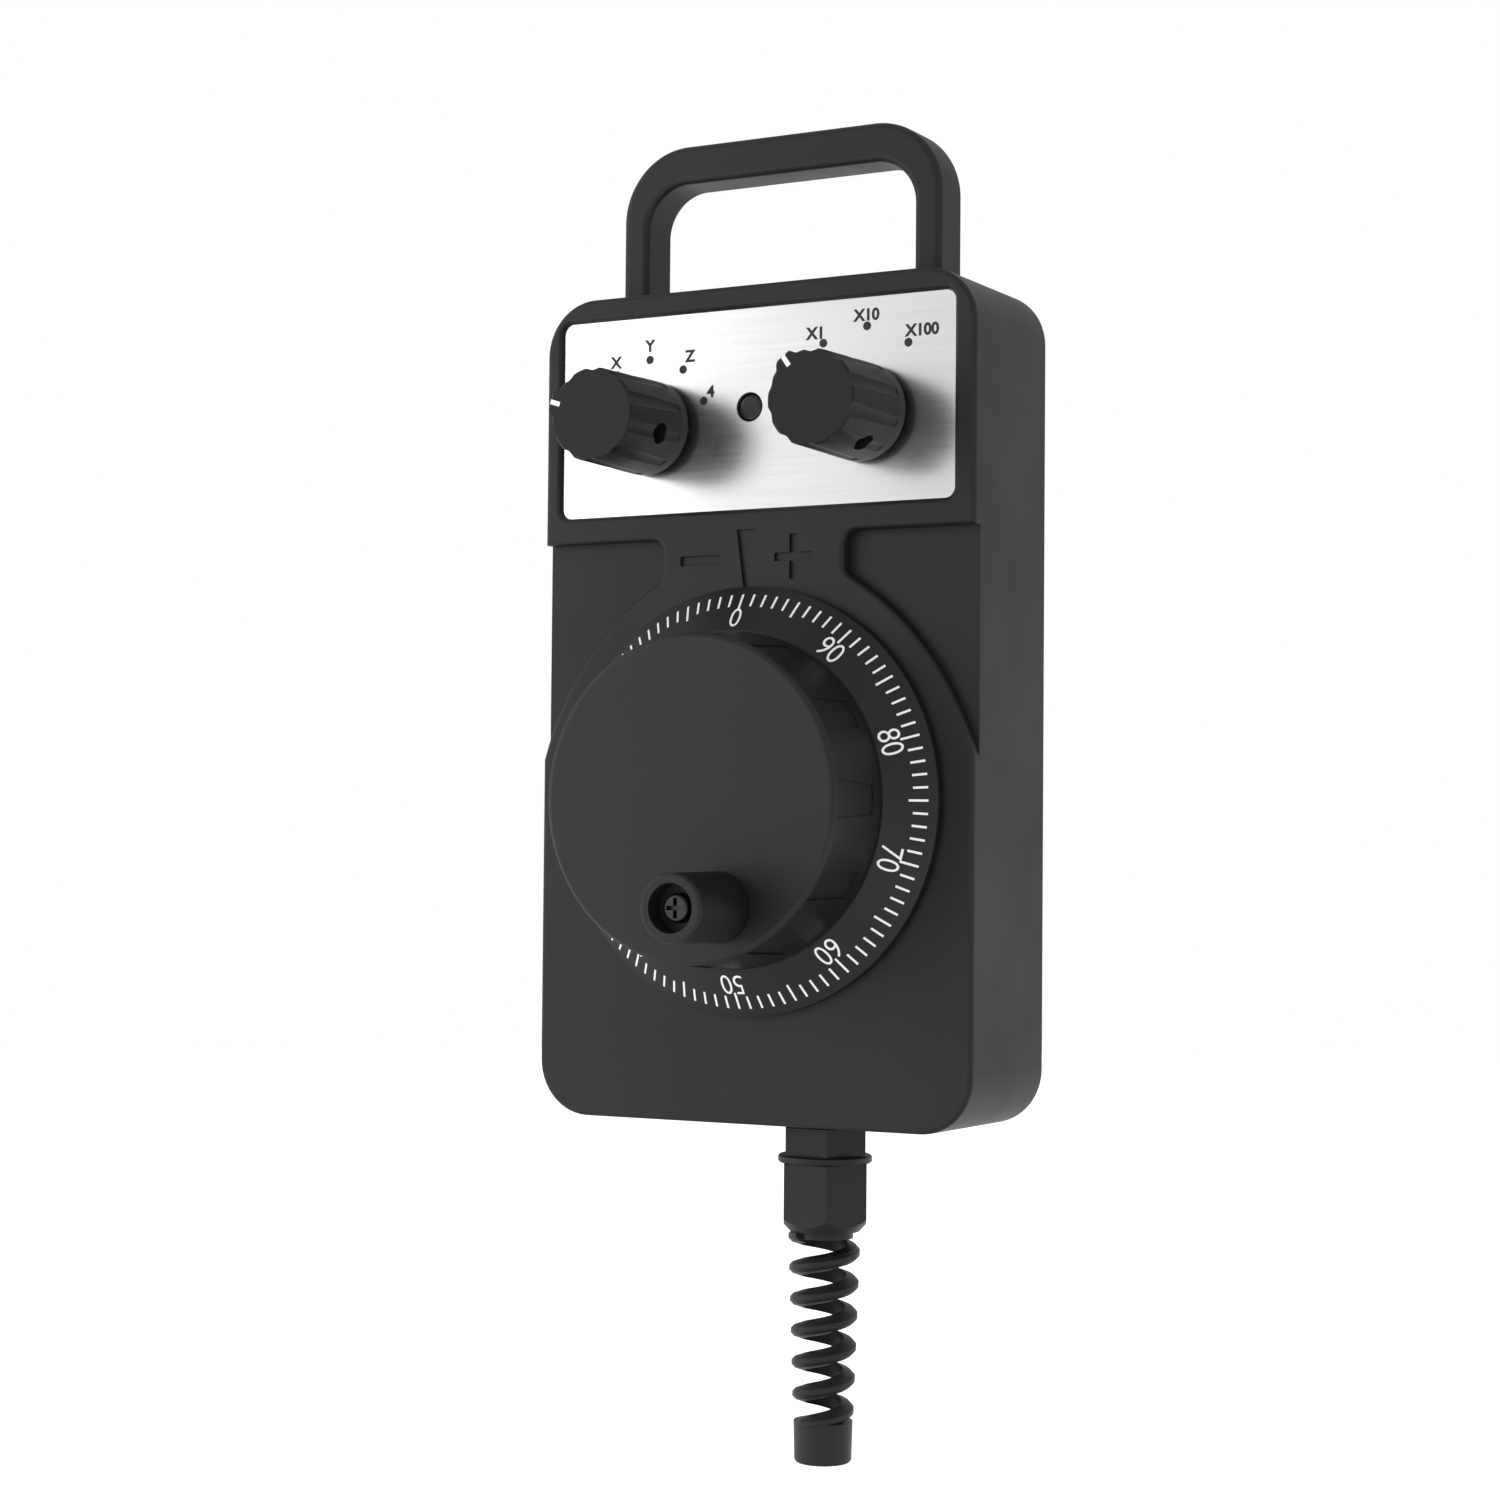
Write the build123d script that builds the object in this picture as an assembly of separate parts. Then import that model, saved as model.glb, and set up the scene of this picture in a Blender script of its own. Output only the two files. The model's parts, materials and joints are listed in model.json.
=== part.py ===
from build123d import *
from math import atan, cos, degrees, radians, sin
import os

# A hand-held jog pendant. A flat case hangs from its own handle and carries a graduated
# handwheel with a crank grip, two rotary selectors, a signal lamp and a cable gland.
# Millimetres, +X right, +Y back, +Z up. The origin is where the pendant hangs: the middle
# of the underside of the handle's bar. "Depth" is measured back from the case's front
# face, so whatever stands out of the face has a negative depth.

# ---- Case ---------------------------------------------------------------------------
CASE_W = 92.0
CASE_H = 157.6
CASE_D = 32.0
CASE_CORNER = 10.5
EDGE_ROUND = 0.9
WALL = 3.0
HANDLE_GAP = 22.9  # clear height under the handle's bar
HANDLE_DEPTH = 13.9  # the handle's middle plane, behind the front face
DIAL_BELOW_TOP = 97.4
FRONT_Y = -HANDLE_DEPTH
CASE_TOP = -HANDLE_GAP
CASE_BOTTOM = CASE_TOP - CASE_H
CASE_MID_Z = (CASE_TOP + CASE_BOTTOM) / 2
DIAL_Z = CASE_TOP - DIAL_BELOW_TOP

POCKET_DEPTH = 2.6  # the two shallow recesses beside the pointer
POCKET_TOP = DIAL_Z + 50.0
POCKET_NECK = 19.4  # half-width of the land left between them
POCKET_ARC_X = -9.5
POCKET_ARC_Z = DIAL_Z - 7.6
POCKET_ARC_R = 57.7
POCKET_CORNER = 2.5
LOW_CAVITY = 2 * POCKET_DEPTH  # depth at which the cavity behind the dial starts
HIGH_CAVITY = 3.6  # the same behind the label plate
ENGRAVING = 0.6
MARK_ROW = DIAL_Z + 45.6

COVER_T = 3.0
COVER_RIM = 2.4
COVER_GAP = 0.15
LEDGE_INSET = 5.0
LEDGE_T = 3.0
GASKET_T = 0.8
LEDGE_DEPTH = CASE_D - COVER_T - GASKET_T
POST_X = 39.0
POST_FROM_END = 9.0
POST_R = 4.2
COUNTERBORE = 2.2

# ---- Screws: shank radius, head radius, head height -----------------------------------
M3 = (1.5, 2.75, 1.9)
M25 = (1.25, 2.2, 1.5)
M2 = (1.0, 1.9, 1.2)
THREAD_PLAY = 0.02
HOLE_PLAY = 0.2

# ---- Handle -------------------------------------------------------------------------
HANDLE_HALF_OUT = 34.45
HANDLE_HALF_IN = 28.95
HANDLE_BAR = 7.4
HANDLE_T = 9.8
HANDLE_CORNER_OUT = 14.0
HANDLE_CORNER_IN = 8.5
HANDLE_ROUND = 1.3
LEG_X = (HANDLE_HALF_OUT + HANDLE_HALF_IN) / 2

# ---- Label plate, lamp and selectors ----------------------------------------------------
LABEL_W = 84.2
LABEL_H = 38.0
LABEL_CORNER = 2.0
LABEL_PLAY = 0.1
LABEL_NEAR = 1.0  # the plate lies sunk below the front face
LABEL_FAR = 1.5
LABEL_X = -0.5
LABEL_Z = DIAL_Z + 74.0
LAMP_R = 2.55
LAMP_HOLE_R = 2.8  # the lamp lies a little sunk in this hole
LAMP_FRONT = 1.2
LAMP_X = -1.2
LAMP_Z = DIAL_Z + 74.3
SELECTOR_Z = DIAL_Z + 71.35
AXIS_X = -22.4
MULTIPLIER_X = 23.5
AXIS_REST = 162.0  # where the index line points at rest, from +X towards +Z
MULTIPLIER_REST = 126.0
KNOB_BASE = -1.2
KNOB_FRONT = -21.2
KNOB_R_FRONT = 8.75
KNOB_R_BASE = 9.1
KNOB_LIP = 2.4
KNOB_FLUTES = 10
FLUTE_R = 2.54
FLUTE_CUT = 0.56  # depth of a flute at the front; it runs out towards the lip
FLUTE_END = 0.2  # what is left of that depth at the lip
NOSE_TIP_R = 9.8  # the pointer nose that carries the white line
NOSE_W = 2.8  # at its tip
NOSE_FOOT_W = 5.0
INDEX_W = 0.9
INDEX_INNER = 7.3
SWITCH_W = 16.5
SWITCH_FAR = 12.0
BUSHING_R = 4.5
SWITCH_SHAFT_R = 3.0
KNOB_SCREW_R = 2.0
PIN_R = 0.4
PIN_CIRCLE = 6.0
BOARD_NEAR = 17.0
BOARD_T = 1.6

# ---- Handwheel ------------------------------------------------------------------------
WHEEL_FRONT = -22.95
WHEEL_R = 30.0
WHEEL_R_BASE = 31.2
WHEEL_BACK = -7.3
WHEEL_EDGE = 1.0
WHEEL_SKIN = 2.8
WHEEL_FLUTES = 12
WHEEL_FLUTE_CUT = 0.3
DIAL_R = 40.0
DIAL_CONE_R = 39.6  # where the cone turns into the rim
DIAL_EDGE = -2.1
DIAL_BACK = -0.4
DIAL_WEB = 2.0
DIAL_SCREW_R = 22.0
HUB_R = 7.5
SHAFT_R = 4.0
RUNNING = 0.03  # radial clearance of a running fit
CRANK_X = 6.6
CRANK_Z = DIAL_Z - 19.45
CRANK_FRONT = -39.7
CRANK_R_BASE = 6.45
CRANK_R_FRONT = 6.2
CRANK_BORE = 4.43
CRANK_FLOOR = -35.8
SHOULDER_R = 2.0

# ---- Encoder ----------------------------------------------------------------------------
ENCODER_R = 26.0
ENCODER_WALL = 3.5
ENCODER_FAR = 20.0
NOSE_R = 9.5
NOSE_FRONT = -2.8
BUSH_R = 6.0
BUSH_LENGTH = 5.0
ENCODER_SCREW_R = 20.0
DISC_NEAR = 12.0
DISC_T = 0.3
DISC_R = 20.0
CLICKS = 100
CLICK_NEAR = 8.6
CLICK_T = 1.6
CLICK_R = 13.0

# ---- Cable gland --------------------------------------------------------------------------
GLAND_X = 8.2
GLAND_Y = FRONT_Y + CASE_D / 2
GLAND_THREAD_R = 6.25
GLAND_HEX = 15.0
GLAND_TURN = 29.0  # a corner of the hexagons points this far from the front, to the right
GLAND_BORE = 3.6
WASHER_T = 1.0
FLANGE_TOP = CASE_BOTTOM - 6.2
FLANGE_T = 1.5
FLANGE_R = 8.9
NUT_BOTTOM = CASE_BOTTOM - 20.6
NUT_HEX = 15.5
SEAL_BORE = 3.15
SPIRAL_TOP = CASE_BOTTOM - 21.0
SPIRAL_PITCH = 5.92
SPIRAL_TURNS = 6
SPIRAL_START = 245.0  # where the coil leaves the collar, seen from above, from +X towards +Y
SPIRAL_R_TOP = 6.85  # outer radius under the nut
SPIRAL_R_END = 5.7  # and at the collar
SPIRAL_WIRE_W = 2.35
SPIRAL_T_IN = 3.2
SPIRAL_T_OUT = 2.3
SPIRAL_TIP = 0.9  # height of the blunt outer edge
SPIRAL_BEVEL = 0.7
COLLAR_TOP = CASE_BOTTOM - 56.2
COLLAR_BOTTOM = CASE_BOTTOM - 64.0
COLLAR_R = 5.6
COLLAR_BORE = 3.4


# ---- Helpers ------------------------------------------------------------------------------
def slab(sketch, near, far):
    """Extrude a front-view sketch, drawn in X and Z, between two depths."""
    plane = Plane((0, FRONT_Y + far, 0), x_dir=(1, 0, 0), z_dir=(0, -1, 0))
    return extrude(plane * sketch, far - near)


def turned(points, x=0.0, z=DIAL_Z):
    """Turn a profile of (radius, depth) points about an axis that runs front to back."""
    profile = make_face(Polyline([(r, FRONT_Y + depth) for r, depth in points], close=True))
    return Pos(x, 0, z) * revolve(profile, Axis.Y)


def disc(radius, near, far, x=0.0, z=DIAL_Z):
    """Cylinder that runs front to back."""
    return Pos(x, FRONT_Y + (near + far) / 2, z) * Rot(90, 0, 0) * Cylinder(radius, far - near)


def ring(outer, inner, near, far, x=0.0, z=DIAL_Z):
    """Plain washer shape that runs front to back."""
    return disc(outer, near, far, x, z) - disc(inner, near - 1, far + 1, x, z)


def upright(radius, low, high, x=GLAND_X, y=GLAND_Y):
    """Cylinder that runs up and down."""
    return Pos(x, y, (low + high) / 2) * Cylinder(radius, high - low)


def hex_upright(across_flats, low, high):
    """Hexagon prism on the gland's axis, with a corner at GLAND_TURN."""
    outline = RegularPolygon(across_flats / 2, 6, major_radius=False, rotation=GLAND_TURN - 90)
    return Pos(GLAND_X, GLAND_Y, low) * extrude(outline, high - low)


def around(radius, angle, x=0.0, z=DIAL_Z):
    """Point in the front view at a radius and an angle from +X towards +Z."""
    return x + radius * cos(radians(angle)), z + radius * sin(radians(angle))


def radial_frame(angle, depth, x=0.0, z=DIAL_Z):
    """Placement whose local X points outwards at the angle and local Y points back."""
    return Pos(x, FRONT_Y + depth, z) * Rot(0, -angle, 0)


def pan_screw(size, length):
    """Pan-head screw with a cross recess, head up, its head's underside at the origin."""
    shank_r, head_r, head_h = size
    head = Cylinder(head_r, head_h, align=(Align.CENTER, Align.CENTER, Align.MIN))
    head = fillet(head.edges().group_by(Axis.Z)[-1], 0.4 * head_h)
    shank = Cylinder(shank_r, length, align=(Align.CENTER, Align.CENTER, Align.MAX))
    bar = Box(1.35 * head_r, 0.3 * head_r, head_h)
    cross = Pos(0, 0, head_h) * (bar + Rot(0, 0, 90) * bar)
    return head + shank - cross


def set_screw(radius, length):
    """Headless screw with a hexagon socket in its outer end, along local X from zero."""
    body = Rot(0, 90, 0) * Cylinder(radius, length, align=(Align.CENTER, Align.CENTER, Align.MIN))
    socket = Rot(0, 90, 0) * extrude(RegularPolygon(0.5 * radius, 6), 1.2)
    return body - Pos(length - 1.2, 0, 0) * socket


def facing_front(x, z, depth):
    """Placement of a screw whose head faces the front, with its seat at the depth."""
    return Pos(x, FRONT_Y + depth, z) * Rot(90, 0, 0)


def facing_back(x, z, depth):
    """Placement of a screw whose head faces the back, with its seat at the depth."""
    return Pos(x, FRONT_Y + depth, z) * Rot(-90, 0, 0)


def group(solids):
    """Several separate solids that share one node."""
    return Compound(children=list(solids))


# ---- Case pieces ----------------------------------------------------------------------------
def case_outline(inset=0.0):
    corner = CASE_CORNER - inset
    return Pos(0, CASE_MID_Z) * RectangleRounded(CASE_W - 2 * inset, CASE_H - 2 * inset, corner)


def post_places():
    """Centres of the four screw posts in the front view."""
    return [
        (x, z)
        for x in (-POST_X, POST_X)
        for z in (CASE_TOP - POST_FROM_END, CASE_BOTTOM + POST_FROM_END)
    ]


def pockets():
    """Front-view outlines of the recesses left and right of the pointer."""
    low = POCKET_ARC_Z
    width = CASE_W / 2 + 0.5 - POCKET_NECK
    blank = Pos(POCKET_NECK, low) * Rectangle(width, POCKET_TOP - low, align=(Align.MIN, Align.MIN))
    right = blank - Pos(POCKET_ARC_X, POCKET_ARC_Z) * Circle(POCKET_ARC_R)
    right = fillet(right.vertices().group_by(Axis.X)[0], POCKET_CORNER)
    return right + mirror(right, about=Plane.YZ)


def label_outline(play=0.0):
    width, height = LABEL_W + 2 * play, LABEL_H + 2 * play
    return Pos(LABEL_X, LABEL_Z) * RectangleRounded(width, height, LABEL_CORNER + play)


def pointer_marks():
    """Minus, pointer and plus marks above the dial, cut into the land."""
    minus = Pos(-11.05, MARK_ROW) * RectangleRounded(8.7, 1.9, 0.4)
    bars = RectangleRounded(8.0, 1.6, 0.3) + RectangleRounded(1.6, 8.5, 0.3)
    plus = Pos(8.9, MARK_ROW) * bars
    pointer = make_face(Polyline((-2.1, 5.5), (2.1, 5.5), (0.5, -5.8), (-0.5, -5.8), close=True))
    return minus + plus + Pos(-1.1, MARK_ROW) * pointer


def front_shell():
    raised = slab(case_outline() - pockets(), 0, POCKET_DEPTH)
    raised -= slab(label_outline(LABEL_PLAY), -1, LABEL_FAR)
    rim = raised.edges().filter_by_position(Axis.Y, FRONT_Y - 0.01, FRONT_Y + 0.01)
    raised = fillet(rim, EDGE_ROUND)
    back = slab(case_outline(), POCKET_DEPTH, CASE_D)
    rear_rim = back.edges().filter_by_position(Axis.Y, FRONT_Y + CASE_D - 0.01, FRONT_Y + CASE_D + 0.01)
    shell = raised + fillet(rear_rim, EDGE_ROUND)

    roof_z = POCKET_TOP + WALL
    roof_h = CASE_TOP - WALL - roof_z
    roof = Pos(0, roof_z + roof_h / 2) * Rectangle(CASE_W, roof_h)
    shell -= slab(case_outline(WALL) & roof, HIGH_CAVITY, LOW_CAVITY + 1)
    shell -= slab(case_outline(WALL), LOW_CAVITY, LEDGE_DEPTH - LEDGE_T)
    shell -= slab(case_outline(LEDGE_INSET), LEDGE_DEPTH - LEDGE_T - 1, LEDGE_DEPTH + 1)
    shell -= slab(case_outline(COVER_RIM), LEDGE_DEPTH, CASE_D + 1)
    for x, z in post_places():
        shell += slab(Pos(x, z) * Circle(POST_R) & case_outline(WALL / 2), HIGH_CAVITY, LEDGE_DEPTH)
        shell -= disc(M3[0] + THREAD_PLAY, LEDGE_DEPTH - 12, LEDGE_DEPTH + 1, x, z)

    shell -= slab(pointer_marks(), -1, ENGRAVING)
    shell -= disc(LAMP_R + 0.1, -1, LOW_CAVITY, LAMP_X, LAMP_Z)
    for x in (AXIS_X, MULTIPLIER_X):
        shell -= disc(BUSHING_R + HOLE_PLAY, -1, LOW_CAVITY, x, SELECTOR_Z)
    shell -= disc(NOSE_R + HOLE_PLAY, -1, LOW_CAVITY + 1)
    for x, z in encoder_screw_places():
        shell -= disc(M3[0] + HOLE_PLAY, -1, LOW_CAVITY + 1, x, z)
    for x in (-LEG_X, LEG_X):
        shell -= upright(M3[0] + HOLE_PLAY, CASE_TOP - WALL - 1, CASE_TOP + 1, x, 0)
    return shell - upright(GLAND_THREAD_R + 0.1, CASE_BOTTOM - 1, CASE_BOTTOM + WALL + 1)


def rear_cover():
    near = CASE_D - COVER_T
    cover = slab(case_outline(COVER_RIM + COVER_GAP), near, CASE_D)
    back_rim = cover.edges().filter_by_position(Axis.Y, FRONT_Y + CASE_D - 0.01, FRONT_Y + CASE_D + 0.01)
    cover = chamfer(back_rim, 0.4)
    rib = case_outline(LEDGE_INSET + 0.3) - case_outline(LEDGE_INSET + 1.8)
    for x, z in post_places():
        rib -= Pos(x, z) * Circle(POST_R + 0.4)
    cover += slab(rib, near - 1.6, near)
    for x, z in post_places():
        cover -= disc(M3[0] + HOLE_PLAY, near - 1, CASE_D + 1, x, z)
        cover -= disc(M3[1] + 0.35, CASE_D - COUNTERBORE, CASE_D + 1, x, z)
    return cover


def case_gasket():
    band = case_outline(COVER_RIM + 0.2) - case_outline(LEDGE_INSET - 0.2)
    return slab(band, LEDGE_DEPTH, LEDGE_DEPTH + GASKET_T)


def cover_screws():
    seat = CASE_D - COUNTERBORE
    return group(facing_back(x, z, seat) * pan_screw(M3, 12.0) for x, z in post_places())


def carry_handle():
    low = CASE_TOP - 20.0
    outer_h = HANDLE_BAR - low
    outer = Pos(0, low + outer_h / 2) * RectangleRounded(2 * HANDLE_HALF_OUT, outer_h, HANDLE_CORNER_OUT)
    inner = Pos(0, low / 2) * RectangleRounded(2 * HANDLE_HALF_IN, -low, HANDLE_CORNER_IN)
    above = Pos(0, CASE_TOP) * Rectangle(CASE_W, 2 * HANDLE_GAP, align=(Align.CENTER, Align.MIN))
    near = HANDLE_DEPTH - HANDLE_T / 2
    far = HANDLE_DEPTH + HANDLE_T / 2
    handle = slab((outer - inner) & above, near, far)
    faces = handle.faces().filter_by(Axis.Y)
    edges = [e for f in faces for e in f.edges() if e.center().Z > CASE_TOP + 0.1]
    handle = fillet(edges, HANDLE_ROUND)
    for x in (-LEG_X, LEG_X):
        handle -= upright(M3[0] + THREAD_PLAY, CASE_TOP - 1, CASE_TOP + 9, x, 0)
    return handle


def handle_screws():
    seat = CASE_TOP - WALL
    length = WALL + 8.0
    return group(Pos(x, 0, seat) * Rot(180, 0, 0) * pan_screw(M3, length) for x in (-LEG_X, LEG_X))


# ---- Label plate and lamp ---------------------------------------------------------------------
def label_plate():
    outline = label_outline() - Pos(LAMP_X, LAMP_Z) * Circle(LAMP_HOLE_R)
    for x in (AXIS_X, MULTIPLIER_X):
        outline -= Pos(x, SELECTOR_Z) * Circle(BUSHING_R + HOLE_PLAY)
    return slab(outline, LABEL_NEAR, LABEL_FAR)


def led_lamp():
    body = disc(LAMP_R, LAMP_FRONT, HIGH_CAVITY + 0.05, LAMP_X, LAMP_Z)
    front = body.edges().filter_by(GeomType.CIRCLE).sort_by(Axis.Y)[0]
    flange = disc(LAMP_R + 0.4, HIGH_CAVITY + 0.05, HIGH_CAVITY + 1.05, LAMP_X, LAMP_Z)
    return fillet(front, 0.8) + flange


def lead_places():
    return [(LAMP_X - 1.27, LAMP_Z), (LAMP_X + 1.27, LAMP_Z)]


def led_leads():
    near = HIGH_CAVITY + 1.05
    far = BOARD_NEAR + BOARD_T + 0.8
    return group(slab(Pos(x, z) * Rectangle(0.5, 0.5), near, far) for x, z in lead_places())


# ---- Rotary selectors: the same parts for the axis and for the multiplier -----------------------
def switch_body(x):
    body = slab(Pos(x, SELECTOR_Z) * RectangleRounded(SWITCH_W, SWITCH_W, 1.5), HIGH_CAVITY, SWITCH_FAR)
    body += disc(BUSHING_R, LABEL_NEAR - 3.2, HIGH_CAVITY, x, SELECTOR_Z)
    body -= disc(7.2, HIGH_CAVITY + 1.4, SWITCH_FAR + 1, x, SELECTOR_Z)
    return body - disc(SWITCH_SHAFT_R + RUNNING, -4, SWITCH_FAR, x, SELECTOR_Z)


def switch_base(x, angles):
    wafer = Pos(x, SELECTOR_Z) * RectangleRounded(SWITCH_W, SWITCH_W, 1.5)
    for px, pz in pin_places(x, angles):
        wafer -= Pos(px, pz) * Circle(PIN_R + THREAD_PLAY)
    return slab(wafer, SWITCH_FAR, SWITCH_FAR + 1.6)


def pin_places(x, angles):
    return [around(PIN_CIRCLE, a, x, SELECTOR_Z) for a in angles]


def switch_terminals(x, angles):
    far = BOARD_NEAR + BOARD_T + 0.8
    return group(disc(PIN_R, SWITCH_FAR, far, px, pz) for px, pz in pin_places(x, angles))


def switch_washer(x):
    return ring(6.5, BUSHING_R + 0.1, LABEL_NEAR - 0.5, LABEL_NEAR, x, SELECTOR_Z)


def switch_nut(x):
    outline = Pos(x, SELECTOR_Z) * (RegularPolygon(5.5, 6, major_radius=False) - Circle(BUSHING_R + THREAD_PLAY))
    return slab(outline, LABEL_NEAR - 2.6, LABEL_NEAR - 0.5)


def switch_shaft(x):
    shaft = disc(SWITCH_SHAFT_R, -18.5, 10.8, x, SELECTOR_Z)
    return chamfer(shaft.edges().filter_by(GeomType.CIRCLE), 0.4)


def switch_rotor(x, rest):
    """Wiper carrier on the shaft, with an arm that points the same way as the index line."""
    rotor = ring(5.6, SWITCH_SHAFT_R + THREAD_PLAY, 8.0, 10.2, x, SELECTOR_Z)
    arm = Box(3.0, 1.6, 1.8, align=(Align.MIN, Align.CENTER, Align.CENTER))
    rotor += radial_frame(rest, 9.1, x, SELECTOR_Z) * Pos(3.9, 0, 0) * arm
    return rotor


def knob_blank(x, rest):
    """The fluted outside of a knob, solid, with a pointer nose and a plain lip at its base."""
    lip = KNOB_BASE - KNOB_LIP
    body = turned(
        [
            (0, KNOB_FRONT),
            (KNOB_R_FRONT - 0.4, KNOB_FRONT),
            (KNOB_R_FRONT, KNOB_FRONT + 0.4),
            (KNOB_R_BASE, lip),
            (KNOB_R_BASE, KNOB_BASE),
            (0, KNOB_BASE),
        ],
        x,
        SELECTOR_Z,
    )
    centre = KNOB_R_FRONT - FLUTE_CUT + FLUTE_R
    length = lip - KNOB_FRONT
    run_out = degrees(atan((KNOB_R_BASE - KNOB_R_FRONT + FLUTE_CUT - FLUTE_END) / length))
    cutter = Rot(90, 0, 0) * Cylinder(FLUTE_R, 2 * length)
    for i in range(KNOB_FLUTES):
        frame = radial_frame(rest + 360 / KNOB_FLUTES * i, KNOB_FRONT, x, SELECTOR_Z)
        body -= frame * Pos(centre, 0, 0) * Rot(0, 0, -run_out) * cutter
    body += turned([(0, lip), (KNOB_R_BASE, lip), (KNOB_R_BASE, KNOB_BASE), (0, KNOB_BASE)], x, SELECTOR_Z)
    return body + knob_nose(x, rest)


def knob_nose(x, rest):
    """Rib along the knob's side at its index, running back into the lip."""
    back = KNOB_BASE - KNOB_FRONT - 1.0
    foot = KNOB_R_BASE - 0.3
    side = [(5, 0), (NOSE_TIP_R - 0.6, 0), (NOSE_TIP_R, 0.6), (foot, back), (5, back)]
    side_view = extrude(make_face(Polyline(side, close=True)), NOSE_FOOT_W / 2, both=True)
    inner, tip = NOSE_FOOT_W / 2, NOSE_W / 2
    end_on = [(5, -inner), (8.2, -inner), (NOSE_TIP_R, -tip), (NOSE_TIP_R, tip), (8.2, inner), (5, inner)]
    front_view = Rot(-90, 0, 0) * extrude(make_face(Polyline(end_on, close=True)), back)
    return radial_frame(rest, KNOB_FRONT, x, SELECTOR_Z) * (side_view & front_view)


def index_slot(x, rest):
    """Space of the white line: across the front rim and down the nose."""
    face = Box(4.0, 0.9, INDEX_W, align=(Align.MIN, Align.CENTER, Align.CENTER))
    side = Box(2.0, 9.0, INDEX_W, align=(Align.MIN, Align.MIN, Align.CENTER))
    frame = radial_frame(rest, KNOB_FRONT, x, SELECTOR_Z)
    return frame * (Pos(INDEX_INNER, 0, 0) * face + Pos(NOSE_TIP_R - 0.9, -0.45, 0) * side)


def set_screw_frame(x, rest):
    return radial_frame(rest + 180, KNOB_BASE - 9.0, x, SELECTOR_Z)


def knob(x, rest):
    body = knob_blank(x, rest) - index_slot(x, rest)
    body -= disc(7.1, KNOB_BASE - 3.0, KNOB_BASE + 1, x, SELECTOR_Z)
    body -= disc(SWITCH_SHAFT_R + THREAD_PLAY, -18.6, KNOB_BASE, x, SELECTOR_Z)
    radius = KNOB_SCREW_R + THREAD_PLAY
    hole = Rot(0, 90, 0) * Cylinder(radius, 12, align=(Align.CENTER, Align.CENTER, Align.MIN))
    return body - set_screw_frame(x, rest) * hole


def knob_index(x, rest):
    return knob_blank(x, rest) & index_slot(x, rest)


def knob_screw(x, rest):
    place = Pos(SWITCH_SHAFT_R + 0.05, 0, 0)
    return set_screw_frame(x, rest) * place * set_screw(KNOB_SCREW_R, 3.6)


def switch_board(pins):
    board = Pos(0, SELECTOR_Z) * RectangleRounded(66.0, 30.0, 2.0)
    for px, pz in pins:
        board -= Pos(px, pz) * Circle(PIN_R + 0.1)
    for px, pz in lead_places():
        board -= Pos(px, pz) * Rectangle(0.7, 0.7)
    return slab(board, BOARD_NEAR, BOARD_NEAR + BOARD_T)


# ---- Encoder behind the handwheel -----------------------------------------------------------------
def encoder_screw_places():
    return [around(ENCODER_SCREW_R, a) for a in (30, 150, 270)]


def cover_screw_places():
    return [around(ENCODER_R - ENCODER_WALL / 2, a) for a in (90, 210, 330)]


def encoder_housing():
    plate_far = LOW_CAVITY + 2.0
    inner = ENCODER_R - ENCODER_WALL
    body = turned(
        [
            (BUSH_R, NOSE_FRONT),
            (NOSE_R, NOSE_FRONT),
            (NOSE_R, LOW_CAVITY),
            (ENCODER_R, LOW_CAVITY),
            (ENCODER_R, ENCODER_FAR),
            (inner, ENCODER_FAR),
            (inner, plate_far),
            (SHAFT_R + 0.5, plate_far),
            (SHAFT_R + 0.5, NOSE_FRONT + BUSH_LENGTH),
            (BUSH_R, NOSE_FRONT + BUSH_LENGTH),
        ]
    )
    for x, z in encoder_screw_places():
        body -= disc(M3[0] + THREAD_PLAY, 0, plate_far + 1, x, z)
    for x, z in cover_screw_places():
        body -= disc(M2[0] + THREAD_PLAY, ENCODER_FAR - 7, ENCODER_FAR + 1, x, z)
    return body


def encoder_screws():
    return group(facing_front(x, z, 0) * pan_screw(M3, 7.8) for x, z in encoder_screw_places())


def encoder_cover():
    far = ENCODER_FAR + 2.0
    boss = far - BUSH_LENGTH
    cover = turned(
        [
            (BUSH_R, boss),
            (BUSH_R + 3, boss),
            (BUSH_R + 3, ENCODER_FAR),
            (ENCODER_R, ENCODER_FAR),
            (ENCODER_R, far),
            (BUSH_R, far),
        ]
    )
    for x, z in cover_screw_places():
        cover -= disc(M2[0] + HOLE_PLAY, ENCODER_FAR - 1, far + 1, x, z)
    return cover


def encoder_cover_screws():
    seat = ENCODER_FAR + 2.0
    return group(facing_back(x, z, seat) * pan_screw(M2, 7.0) for x, z in cover_screw_places())


def shaft_bushes():
    rear = ENCODER_FAR + 2.0 - BUSH_LENGTH
    nears = (NOSE_FRONT, rear)
    return group(ring(BUSH_R, SHAFT_R + RUNNING, near, near + BUSH_LENGTH) for near in nears)


def encoder_shaft():
    shaft = disc(SHAFT_R, -17.3, ENCODER_FAR + 3.6)
    shaft = chamfer(shaft.edges().filter_by(GeomType.CIRCLE), 0.5)
    return shaft - ring(SHAFT_R + 1, SHAFT_R - 0.35, ENCODER_FAR + 2.3, ENCODER_FAR + 3.0)


def shaft_clip():
    clip = Pos(0, DIAL_Z) * (Circle(5.6) - Circle(SHAFT_R - 0.3))
    clip -= Pos(0, DIAL_Z - 5) * Rectangle(3.6, 6)
    return slab(clip, ENCODER_FAR + 2.35, ENCODER_FAR + 2.95)


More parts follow.
